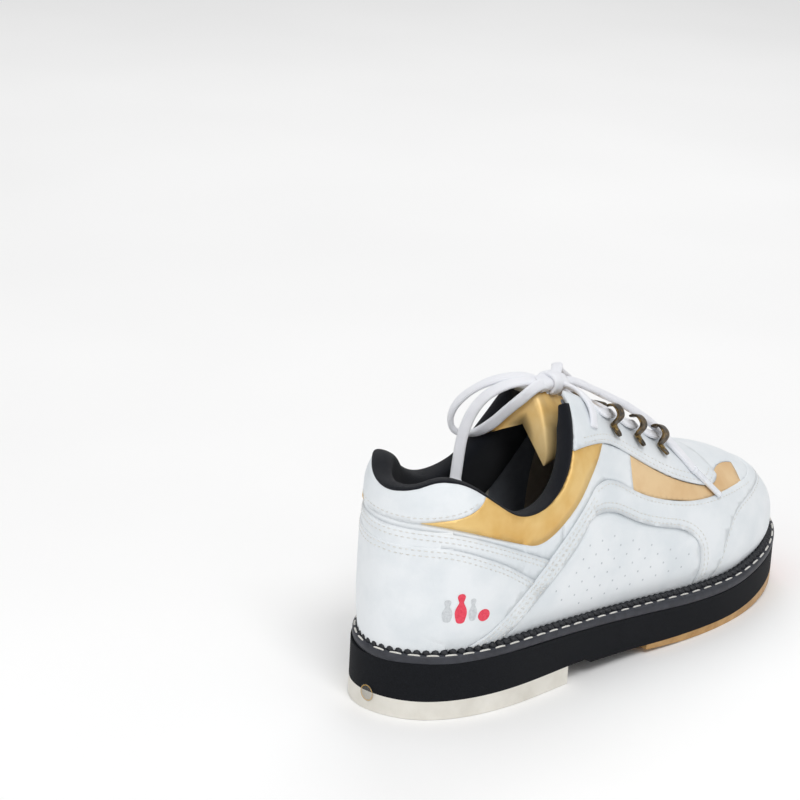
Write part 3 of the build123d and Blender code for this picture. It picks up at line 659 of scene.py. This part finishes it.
# Height over the rim and depth inside the outer surface, from the outer edge over the roll and down inside.
COLLAR_PROFILE = [(-1.4, 1.5), (-0.4, 0.2), (0.8, -0.35), (2.0, 0.0), (3.1, 1.2), (3.8, 3.0), (3.9, 5.0),
                  (3.1, 7.0), (1.2, 8.6), (-1.8, 9.4), (-6, 9.9), (-11, 10.1), (-16, 9.8), (-21, 9.0),
                  (-25, 8.0), (-28.5, 6.6), (-30.5, 4.6)]
COLLAR_REAR = -136.5        # the collar's lining stays in front of the heel leather
t_rim = np.linspace(0, 1, len(rim))
rows = []
slim = np.interp(rim[:, 0], [-139, -126, -100, -62, -50, -40], [0.62, 0.5, 0.36, 0.42, 0.9, 1.0])
for drop, deep in COLLAR_PROFILE:
    drop = np.where(drop > 0, drop * slim, drop)[:, None]
    if drop.min() < -1:
        spots = rim + rim_up * drop
        spots[:, 0] = np.maximum(spots[:, 0], COLLAR_REAR)
        spots = onto(spots)
        spots[:, 0] = np.maximum(spots[:, 0], COLLAR_REAR)
        normals = outward(spots)
    else:
        spots, normals = rim + rim_up * drop, rim_n
    puff = 0.25 * np.sin(t_rim * 46 + drop[:, 0] * 0.12) * np.sin(t_rim * 17)
    thinner_at_ends = np.minimum(1, np.minimum(t_rim, 1 - t_rim) * 12 + 0.55)
    rows.append(spots - normals * ((deep + puff) * thinner_at_ends)[:, None])
rows = np.array(rows)
collar = make("collar_pad", rows.reshape(-1, 3), grid_faces(len(rows), len(rim)), BLACK_KNIT)
solid = collar.modifiers.new("thick", "SOLIDIFY")
solid.thickness = 0.0006
solid.offset = 0
collar.modifiers.new("round", "SUBSURF").levels = 1
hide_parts("collar_lining")

# ---- padded tongue
TONGUE_PLAN = [(-41, 14.5), (-30, 18), (0, 18.5), (40, 15), (61.5, 8.5)]
tongue_half = monotone(TONGUE_PLAN)


def tongue_height(x, y, depth):
    """Height of a layer of the tongue, depth below the outer surface at the crest."""
    base, belly, crest, mid = section(x)
    crest = crest - depth * np.minimum(1, (crest - belly) / 12)
    crest = crest - 7.0 * np.clip((-9.0 - x) / 34.0, 0, 1)
    half = np.where(y < mid, mid - lateral(x), medial(x) - mid) * (1 - depth / 40.0)
    wide = np.clip(np.abs(y - mid) / half, 0, 0.99) ** SIDE_POWER
    return belly + (crest - belly) * (1 - wide) ** (1 / roundness(x))


stations = np.concatenate([[-41.6, -41.3, -40.6, -39.2], np.linspace(-37, 61, 60)])
across = np.linspace(-1, 1, 41)
reach = np.abs(across)
# The tongue's free end is a tent whose wings hang inside the collar: half width, drop and rearward sweep.
WING_WIDTH = np.where(across < 0, 15.5, 20.5)
WING_DROP = np.where(across < 0, 30.0, 21.0)
WING_SWEEP = np.where(across < 0, 3.5, 11.0)
middle = []
for x in stations:
    half = float(tongue_half(x))
    y = -2.5 + across * half
    xs = np.full_like(y, x)
    flat = np.stack([xs, y, tongue_height(xs, y, 5.4)], 1)
    crest = flat[len(across) // 2, 2]
    tent = np.stack([xs - WING_SWEEP * reach, -2.5 + np.sign(across) * WING_WIDTH * (1 - (1 - reach) ** 1.7),
                     crest - WING_DROP * reach ** 1.2], 1)
    bend = np.clip((-14.0 - x) / 25.0, 0, 1)
    bend = bend * bend * (3 - 2 * bend)
    middle.append(flat * (1 - bend) + tent * bend)
middle = np.array(middle)
normal = np.cross(np.gradient(middle, axis=0), np.gradient(middle, axis=1))
normal /= np.linalg.norm(normal, axis=2, keepdims=True)
top, under = [], []
for x, p, n in zip(stations, middle, normal):
    edge = np.sqrt(np.clip(1 - reach ** 10, 0.0, 1)) * min(1.0, 0.25 + 0.5 * math.sqrt(max(x + 41.7, 0)))
    quilt = 0.5 * np.cos(across * 2.2 * math.pi) * max(0.0, math.cos((x + 20) / 26)) if -40 < x < 20 else 0
    crease = 0.35 * np.sin(x * 0.9 + across * 5) * np.exp(-((x + 33) / 9) ** 2)
    top.append(p + n * (-2.5 + edge * 2.5 + (quilt + crease) * edge)[:, None])
    under.append(p - n * (2.5 + edge * 2.5)[:, None])
loops = np.concatenate([np.array(top), np.array(under)[:, ::-1]], 1)
faces = grid_faces(len(stations), loops.shape[1], wrap_cols=True)
ring = loops.shape[1]
faces.append(tuple(range(ring))[::-1])
faces.append(tuple((len(stations) - 1) * ring + k for k in range(ring)))
tongue = make("tongue_pad", loops.reshape(-1, 3), faces, TONGUE_GOLD, body="tongue")
tongue.data.materials.append(BLACK_LINING)
for index, face in enumerate(tongue.data.polygons):
    column = index % ring if index < (len(stations) - 1) * ring else 0
    face.material_index = 1 if len(across) <= column < ring - 1 else 0
tongue.modifiers.new("round", "SUBSURF").levels = 1
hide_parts("tongue_cover", "tongue_foam", "tongue_lining")
rear = even(np.array(under[2])[2:-2], 0.8)
stitches("stitch_tongue_rear", rear, 2.6, 1.5, 0.6, 0.5, -0.1, THREAD,
         ups=np.tile(np.array([-1.0, 0, 0.2]), (len(rear), 1)), body="tongue")

# ---- welt with its rope edge
outline = smooth_line(SOLE_OUTLINE, 0.9, closed=True)
tangent = np.roll(outline, -1, 0) - np.roll(outline, 1, 0)
tangent /= np.linalg.norm(tangent, axis=1, keepdims=True)
inward = np.stack([-tangent[:, 1], tangent[:, 0]], 1)
if (inward * -outline).sum() < 0:
    inward = -inward
WELT_PROFILE = [(12.6, -0.4), (9, 0), (5, 0), (2.4, 0), (0.9, 0), (0.25, -0.3), (-0.1, -0.9), (-0.15, -2.1),
                (-0.05, -3.3), (0.3, -4.15), (1.4, -4.3), (12.6, -4.3)]
SEAM_PITCH = 8.55
BEAD_PITCH = 4.1
BEAD_HALF = (2.2, 1.95, 1.9)    # across the welt, along it and upwards
rows = []
for inset, drop in WELT_PROFILE:
    xy = outline + inward * inset
    rows.append(np.column_stack([xy, welt_top(outline[:, 0]) + drop]))
welt = make("welt_strip", np.array(rows).reshape(-1, 3),
            grid_faces(len(rows), len(outline), wrap_rows=True, wrap_cols=True), WELT)
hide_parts("welt")


def on_welt(inset, lift, step):
    """A closed line along the welt, inset from its outer edge."""
    xy = outline + inward * np.reshape(inset, (-1, 1))
    line = np.column_stack([xy, welt_top(outline[:, 0]) + lift])
    return even(line, step, closed=True)


# How far inside the welt's edge the upper begins.
gap = np.full(len(outline), 9.0)
for inset in np.arange(9.0, 1.0, -0.1):
    xy = outline + inward * inset
    spots = np.column_stack([np.clip(xy[:, 0], -138.9, 137.0), xy[:, 1], welt_top(outline[:, 0]) + 1.5])
    past = (field(spots) > 1) | (xy[:, 0] < -138.9) | (xy[:, 0] > 137.0)
    gap = np.where(past & (gap > inset + 0.15) & (gap >= 8.95), inset, gap)
wide = np.ones(25) / 25
gap = np.convolve(np.concatenate([gap[-12:], gap, gap[:12]]), wide, "valid")
bead_at = np.maximum(gap - 1.5, 3.4)
seam_at = np.maximum(bead_at - 2.9, 0.9)
line = on_welt(seam_at, 0.0, 0.8)
line = np.vstack([line, line[:1]])
stitches("welt_thread", line, SEAM_PITCH, 7.3, 1.0, 0.85, 0.1, WELT_THREAD,
         ups=np.tile(np.array([0, 0, 1.0]), (len(line), 1)))
bead = on_welt(bead_at, 0.4, BEAD_PITCH)
verts, faces = [], []
for k in range(len(bead)):
    ahead = bead[(k + 1) % len(bead)] - bead[k - 1]
    ahead /= np.linalg.norm(ahead)
    slant = np.array([ahead[1], -ahead[0], 0]) + ahead * 0.3
    slant /= np.linalg.norm(slant)
    start = len(verts)
    for s in np.linspace(-1, 1, 9):
        swell = math.sqrt(max(1 - abs(s) ** 2.4, 0.02))
        for a in circle(8):
            verts.append(bead[k] + slant * s * BEAD_HALF[0] + ahead * math.cos(a) * BEAD_HALF[1] * swell
                         + np.array([0, 0, math.sin(a) * BEAD_HALF[2] * swell]))
    faces += capped(9, 8, start)
make("welt_rope_edge", verts, faces, ROPE)


# ---- lace hooks
def hook_frame(x, y):
    """A hook's place, and its directions towards the throat, along the shoe and off the leather."""
    rise_x = float(height(x + 1, y) - height(x - 1, y)) / 2
    rise_y = float(height(x, y + 1) - height(x, y - 1)) / 2
    sign = 1 if y < -2.5 else -1
    z = np.array([-rise_x, -rise_y, 1.0])
    z /= np.linalg.norm(z)
    u = np.array([0, 1.0, rise_y]) * sign
    u -= z * (u @ z)
    u /= np.linalg.norm(u)
    return np.array([x, y, float(height(x, y))]), u, np.cross(z, u), z


# The strip from its foot over the lace: distance towards the throat, height and half width.
HOOK_PATH = [(-11.3, 1.2, 0.5), (-10.8, 1.25, 1.9), (-9.7, 1.25, 2.7), (-8.2, 1.25, 2.9), (-6.7, 1.25, 2.7),
             (-5.5, 1.35, 2.4), (-4.7, 2.0, 3.0), (-4.4, 3.2, 3.9), (-4.1, 5.2, 4.1), (-3.4, 6.8, 4.1),
             (-1.8, 7.7, 4.1), (0.4, 7.9, 4.1), (2.4, 7.3, 4.1), (3.6, 5.8, 4.0), (4.0, 4.2, 3.9)]
STRIP_HALF = 0.6
RIVET_RADIUS = 2.5
RIVET_AT = (-6.0, 2.1)      # towards the throat, off the leather
heads, head_faces = [], []
for word, y in HOOK_Y.items():
    for number, x in enumerate(HOOK_X, 1):
        spot, u, v, w = hook_frame(x, y)
        path = smooth_line(HOOK_PATH, 0.8)
        turn = np.gradient(path[:, :2], axis=0)
        turn /= np.linalg.norm(turn, axis=1, keepdims=True)
        shape = np.linspace(-1, 1, 11)
        outer_skin, inner_skin = [], []
        for k, (a, h, half) in enumerate(path):
            for layer, off in ((outer_skin, STRIP_HALF), (inner_skin, -STRIP_HALF)):
                thin = off * (1 - 0.5 * np.abs(shape) ** 8)
                dish = 0.28 * np.abs(shape) ** 3 if a < 1 and h < 3 else 0
                aa = a - turn[k, 1] * thin
                hh = h + turn[k, 0] * thin + dish
                layer.append(spot + 0.65 * w + np.outer(aa, u) + np.outer(shape * half, v) + np.outer(hh, w))
        loops = np.concatenate([np.array(outer_skin), np.array(inner_skin)[:, ::-1]], 1)
        hook = make(f"hook_{word}_{number}", loops.reshape(-1, 3), capped(len(path), 22), BRASS)
        hook.modifiers.new("round", "SUBSURF").levels = 1
        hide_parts(f"lace_hook_{word}_{number}")
        start = len(heads)
        head = spot + u * RIVET_AT[0] + w * RIVET_AT[1]
        dome = [RIVET_RADIUS * math.sin(s * math.pi / 2) for s in np.linspace(0.02, 1, 8)]
        rise = [1.15 * math.cos(s * math.pi / 2) - 0.25 * math.exp(-(r / 0.7) ** 2)
                for s, r in zip(np.linspace(0.02, 1, 8), dome)]
        for r, z in zip(dome + [RIVET_RADIUS], rise + [-0.4]):
            for a in circle(20):
                heads.append(head + u * r * math.cos(a) + v * r * math.sin(a) + w * z)
        head_faces += capped(9, 20, start)
rivets = make("hook_rivet_heads", heads, head_faces, RIVET)
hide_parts("hook_rivets_lateral", "hook_rivets_medial")


# ---- laces
def nurbs_line(points):
    """The smooth line with the route's points as its control points."""
    data = bpy.data.curves.new("route", "CURVE")
    data.dimensions = "3D"
    spline = data.splines.new("NURBS")
    spline.points.add(len(points) - 1)
    for point, place in zip(spline.points, points):
        point.co = (*[c * MM for c in place], 1.0)
    spline.order_u = 3
    spline.use_endpoint_u = True
    spline.resolution_u = 16
    obj = linked("route", data)
    mesh = bpy.data.meshes.new_from_object(obj)
    line = np.array([v.co[:] for v in mesh.vertices]) / MM
    bpy.data.objects.remove(obj)
    bpy.data.meshes.remove(mesh)
    return line


def ribbon(name, points, ups, width=5.4, thick=3.0):
    """A flat woven lace along a route; ups are given facings at the route's points."""
    line = even(nurbs_line(points), 0.9)
    t = np.linspace(0, 1, len(line))
    ups = np.array(ups, float)
    facing = np.stack([np.interp(t, np.linspace(0, 1, len(ups)), ups[:, k]) for k in range(3)], 1)
    _, side, high = frames(line, facing)
    angles = circle(24)
    ca, sa = np.cos(angles), np.sin(angles)
    across = np.sign(ca) * np.abs(ca) ** 0.55
    over = np.sign(sa) * np.abs(sa) ** 0.8
    ripple = 0.12 * np.sin(t * len(line) * 0.31 + width)
    verts = (line[:, None] + side[:, None] * (across[None, :, None] * (width / 2))
             + high[:, None] * ((over * (1 - 0.25 * across ** 4) + 0.16 * (across ** 2 - 0.4)) * thick / 2
                                + ripple[:, None] * across)[..., None])
    obj = make(name, verts.reshape(-1, 3), capped(len(line), 24), LACE)
    layer = obj.data.uv_layers.new(name="weave")
    run = t * (len(line) - 1) * 0.9
    for face in obj.data.polygons:
        for loop_index, vertex in zip(face.loop_indices, face.vertices):
            row, column = divmod(vertex, 24)
            layer.data[loop_index].uv = (across[column] * width / 2, run[row])
    return obj, line


def channel(word, number, seat=2.9, reach=6.0):
    """Front and rear points of the lace as it passes a hook."""
    spot, u, v, w = hook_frame(HOOK_X[number - 1], HOOK_Y[word])
    ends = [spot + u * 0.9 + v * k * reach + w * seat for k in (-1, 1)]
    return sorted((tuple(e) for e in ends), reverse=True)


# The stretches that the hooks and the knot hold.
FIXED = {
    "lace_bar": [(53.5, -13, 86.6), (53.5, -8, 88.7), (53.5, -2.5, 88.6), (53.5, 4, 88.8), (53.5, 9.5, 86.9)],
    "lace_crossing_outer": [
        (48, -14, 89), (44, -9, 93), (39.5, -2, 95.2), (36.5, 6, 96.6), *channel("medial", 3),
        (20.2, 4, 105.2), (18.5, -4, 106.6), (17.8, -12, 106.4), *channel("lateral", 2),
        (2, -12, 116), (0.8, -3, 117.4), (-0.8, 5.5, 116.4), *channel("medial", 1),
        (-15, 6, 124.6), (-17, -2.5, 126), (-20, -9, 126), (-24, -15.5, 124.2), (-26, -19, 120)],
    "lace_crossing_inner": [
        (48, 10.8, 89), (45, 6, 91.4), (40.5, -2.3, 91.8), (38, -9.5, 94), *channel("lateral", 3),
        (20.6, -13, 104), (19.8, -5, 103.8), (18.4, 2.5, 104), (17.2, 8, 104.6), *channel("medial", 2),
        (3, 8, 113.4), (1.6, 0, 114.2), (0, -8, 114.4), (-1.2, -14.2, 114.8), *channel("lateral", 1),
        (-12.6, -13, 122.4), (-12.2, -6, 122), (-12.4, 1, 122), (-14.2, 6.6, 120.6), (-18, 12, 118)],
    "lace_top_lateral": [(-26, -4, 132.5), (-24.5, -10, 133), (-22.8, -17, 130.4), (-23, -23, 126.4),
                         (-25, -27, 121), (-26.5, -28.6, 117.6)],
    "lace_top_medial": [(-26, 1, 132.5), (-26.5, 8.5, 132.5), (-25.5, 14.8, 127.4), (-25.5, 19.8, 119.8),
                        (-25.5, 22, 115.6)],
}
for name, points in FIXED.items():
    piece, _ = ribbon(name + "_flat", points, outward(points), width=5.0, thick=2.6)
    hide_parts(name)

BOW_REAR = [(-31, 2, 133), (-38, 5.5, 136.5), (-47.5, 10, 136.5), (-56, 17, 132.5), (-62, 24, 125),
            (-64.5, 28, 116), (-62.5, 27.5, 107.5), (-57, 20.5, 106.5), (-53, 12, 113),
            (-49.5, 5.5, 121.5), (-46.5, -0.8, 128.6), (-42, -3.8, 133.6), (-37, -3.8, 134.4),
            (-31, -3.5, 132.5)]
BOW_FRONT = [(-24, 0, 133.5), (-15.5, 5.5, 136.5), (-8, 12.5, 133.5), (-1, 18, 128.5), (7, 21.4, 123.5),
             (15, 23, 118), (21.5, 26.5, 110.5), (23.5, 31, 102.5), (19.8, 34, 95.8), (12.8, 33.6, 94.8),
             (6, 32, 99.5), (0, 29.6, 107), (-5.5, 26, 115), (-10.5, 20.6, 123), (-14.5, 13, 129.3),
             (-18.5, 5, 132.2), (-24, -1, 131.8)]
END_REAR = [(-31, -0.5, 132.5), (-38.5, 0.6, 135), (-47.5, 4.5, 135.2), (-56, 11, 130.5), (-62, 15.8, 121.5),
            (-67, 16.6, 110.5), (-71.2, 14.6, 99.5), (-75.2, 12, 89.5)]
END_FRONT = [(-28, -4, 133.5), (-21, -5, 133.6), (-13, -6, 130.8), (-4, -7.6, 125.8), (5, -8.9, 121),
             (14, -10.2, 116.2), (23, -11.8, 110.6), (30.5, -14.5, 105), (36, -18.5, 99), (40.5, -24, 92),
             (44.5, -30, 85), (46.5, -33.5, 80.8)]
TIPS = {"lace_end_rear": (-78, 9.8, 75.4), "lace_end_front": (59.2, -40.5, 67)}


def outward_from(points, middle):
    """Facings that point away from the middle of a loop."""
    return np.array(points, float) - np.array(middle, float)


def aglet(name, start, tip):
    """The film tip of a lace, with three crimps round it."""
    start, tip = np.array(start, float), np.array(tip, float)
    axis = (tip - start) / np.linalg.norm(tip - start)
    side = np.cross(axis, [0, 0, 1.0])
    side /= np.linalg.norm(side)
    high = np.cross(side, axis)
    verts = []
    reach = np.linalg.norm(tip - start)
    for s, r in ((-1.5, 2.6), (0, 2.7), (0.6, 2.35), (1.2, 2.2), (reach * 0.5, 2.1), (reach - 1, 2.0),
                 (reach - 0.4, 2.15), (reach, 1.8)):
        for a in circle(24):
            crimp = 1 - 0.05 * math.cos(3 * a)
            verts.append(start + axis * s + side * math.cos(a) * r * 1.15 * crimp
                         + high * math.sin(a) * r * 0.75)
    obj = make(name, verts, capped(8, 24), AGLET)
    return obj


for name, node, points, ups, far in (
        ("bow_loop_rear_flat", "bow_loop_rear", BOW_REAR, outward_from(BOW_REAR, (-46, 12, 120)), "object"),
        ("bow_loop_front_flat", "bow_loop_front", BOW_FRONT, outward_from(BOW_FRONT, (3, 18, 112)), "object"),
        ("lace_end_rear_flat", "lace_end_rear", END_REAR,
         [(0, -0.3, 1), (-0.2, -0.4, 1), (-0.5, -0.5, 0.8), (-0.8, -0.5, 0.5), (-0.7, -0.7, 0.3)], "fitting"),
        ("lace_end_front_flat", "lace_end_front", END_FRONT,
         [(0, -0.3, 1), (0.2, -0.5, 1), (0.3, -0.7, 1), (0.3, -0.8, 0.9), (0.4, -0.9, 0.7)], "fitting")):
    piece, line = ribbon(name, points, ups)
    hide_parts(node)
    if far == "fitting":
        tag = aglet(node.replace("lace_end", "aglet") + "_film", points[-1], TIPS[node])
        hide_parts(node.replace("lace_end", "aglet"))

# ---- the knot: a wrap over a core of folded strands
core = [(-36, -0.5, 132.8), (-33, -2, 134), (-29, -2.6, 134.3), (-25, -3.2, 134), (-22, -4.2, 132.6)]
knot_core, _ = ribbon("knot_core", core, [(0, -0.3, 1)], width=9.5, thick=6.2)
wrap = [(-29.5 + 0.4 * math.sin(a), -2.3 + 6.0 * math.cos(a), 133.2 + 4.7 * math.sin(a))
        for a in np.linspace(-0.6 * math.pi, 1.3 * math.pi, 12)]
knot_wrap, _ = ribbon("knot_wrap", wrap, outward_from(wrap, (-29.5, -2.3, 133.2)), width=6.0, thick=2.6)
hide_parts("lace_knot")

# ---- perforations, mark and label
# Each hole is a raised grey disc; its grey is painted shade, not a real opening.
verts, faces = [], []
for side in (-1, 1):
    for row in range(9):
        for column in range(18):
            x = -70 + column * 9.0 + (row % 2) * 4.5
            z = 38 + row * 5.6
            lower = 34 + max(0.0, (-45 - x)) * 0.6
            upper = np.interp(x, [-70, -42, -30, -6, 16, 32, 40], [42, 66, 71, 62, 53, 46, 36])
            if not lower < z < upper or x > 34 or x < -66:
                continue
            spot = snap(np.array([[x, float(side_y(x, z, side)), z]]))[0]
            n = outward(spot)
            a1 = np.cross(n, [0, 0, 1.0])
            a1 /= np.linalg.norm(a1)
            a2 = np.cross(n, a1)
            start = len(verts)
            for r, h in ((0.02, 0.03), (0.3, 0.05), (0.45, 0.1), (0.56, 0.02)):
                for a in circle(10):
                    verts.append(spot + n * h + a1 * r * math.cos(a) + a2 * r * math.sin(a))
            faces += grid_faces(4, 10, wrap_cols=True, start=start)
make("perforations", verts, faces, HOLE_SHADE)


def print_patch(name, outlines, material, lift):
    """Flat shapes printed on the lateral counter; outlines are in mm about the mark's middle."""
    verts, faces = [], []
    for outline_points in outlines:
        pts = smooth_line(outline_points, 0.35, closed=True)
        mid_pt = pts.mean(0)
        start = len(verts)
        rings = [mid_pt + (pts - mid_pt) * k for k in (0.02, 0.35, 0.7, 1.0)]
        for ring_pts in rings:
            for a, b in ring_pts:
                x, z = MARK[0] + a, MARK[1] + b
                verts.append((x, float(side_y(x, z, -1)), z))
        faces += grid_faces(4, len(pts), wrap_cols=True, start=start)
    make(name, snap(verts, lift), faces, material)


def pin(dx, dz, k):
    """Outline of a bowling pin."""
    half = [(0.0, 7.5), (1.2, 7.1), (1.7, 6.0), (1.5, 4.8), (1.0, 3.6), (1.3, 2.2), (2.3, -0.2), (2.6, -2.8),
            (2.1, -5.6), (1.4, -7.2)]
    full = half + [(-a, b) for a, b in half[::-1][:-1]]
    return [(dx + a * k, dz + b * k) for a, b in full]


def disc(dx, dz, r):
    return [(dx + r * math.cos(a), dz + r * math.sin(a)) for a in circle(24)]


MARK = (-118, 54)           # the mark's middle, in side view
print_patch("mark_pins_grey", [pin(-5.2, -0.6, 0.72), pin(5.2, -0.6, 0.72)], PRINT_GREY, 0.1)
print_patch("mark_pin_red", [pin(0, 0.4, 0.95)], PRINT_RED, 0.16)
print_patch("mark_ball_red", [disc(10.6, -4.2, 2.9)], PRINT_RED, 0.13)

LABEL_AT = (-4, 8.4)        # the sticker's middle on the back of the heel, y and z
verts = []
for r, x in ((4.15, -142.92), (4.15, -143.05), (3.75, -143.1), (3.4, -143.08), (0.1, -143.08)):
    for a in circle(48):
        verts.append((x, LABEL_AT[0] + r * math.cos(a), LABEL_AT[1] + r * math.sin(a)))
label = make("size_label_film", verts, grid_faces(5, 48, wrap_cols=True), LABEL)
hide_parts("size_label")
verts = []
for k in range(72):
    a = 2 * math.pi * k / 72
    for b in circle(8):
        r = 3.6 + 0.16 * math.cos(b)
        verts.append((-143.12 - 0.06 * math.sin(b), LABEL_AT[0] + r * math.cos(a),
                      LABEL_AT[1] + r * math.sin(a)))
make("size_label_ring", verts, grid_faces(72, 8, wrap_rows=True, wrap_cols=True), PRINT_GOLD)

# ---- floor and light
floor_mesh = bpy.data.meshes.new("floor")
HALF_FLOOR = 6.0
corners = [(x * HALF_FLOOR, y * HALF_FLOOR, -0.0002) for x, y in ((-1, -1), (1, -1), (1, 1), (-1, 1))]
floor_mesh.from_pydata(corners, [], [(0, 1, 2, 3)])
floor = linked("floor", floor_mesh)
p = Paint("studio_floor", 0.9, specular=0.1)
p.colour(p.noise(3, 2), "#FBFBFB", "#FFFFFF")
floor_mesh.materials.append(p.material)

world = bpy.data.worlds.new("studio")
bpy.context.scene.world = world
world.use_nodes = True
world.node_tree.nodes["Background"].inputs[0].default_value = (1.0, 1.0, 1.0, 1)
world.node_tree.nodes["Background"].inputs[1].default_value = 0.6


def lamp(name, place, size, power, aim=(0, 0, 0.05)):
    data = bpy.data.lights.new(name, "AREA")
    data.size = size
    data.energy = power
    obj = linked(name, data)
    obj.location = place
    obj.rotation_euler = (Vector(aim) - Vector(place)).to_track_quat("-Z", "Y").to_euler()


lamp("key", (-0.5, -0.9, 1.5), 0.7, 11)
lamp("fill", (-1.5, 0.1, 0.8), 1.0, 2.5)
lamp("rim", (0.9, 0.8, 1.3), 0.8, 5)

bpy.context.scene.view_settings.view_transform = "Standard"
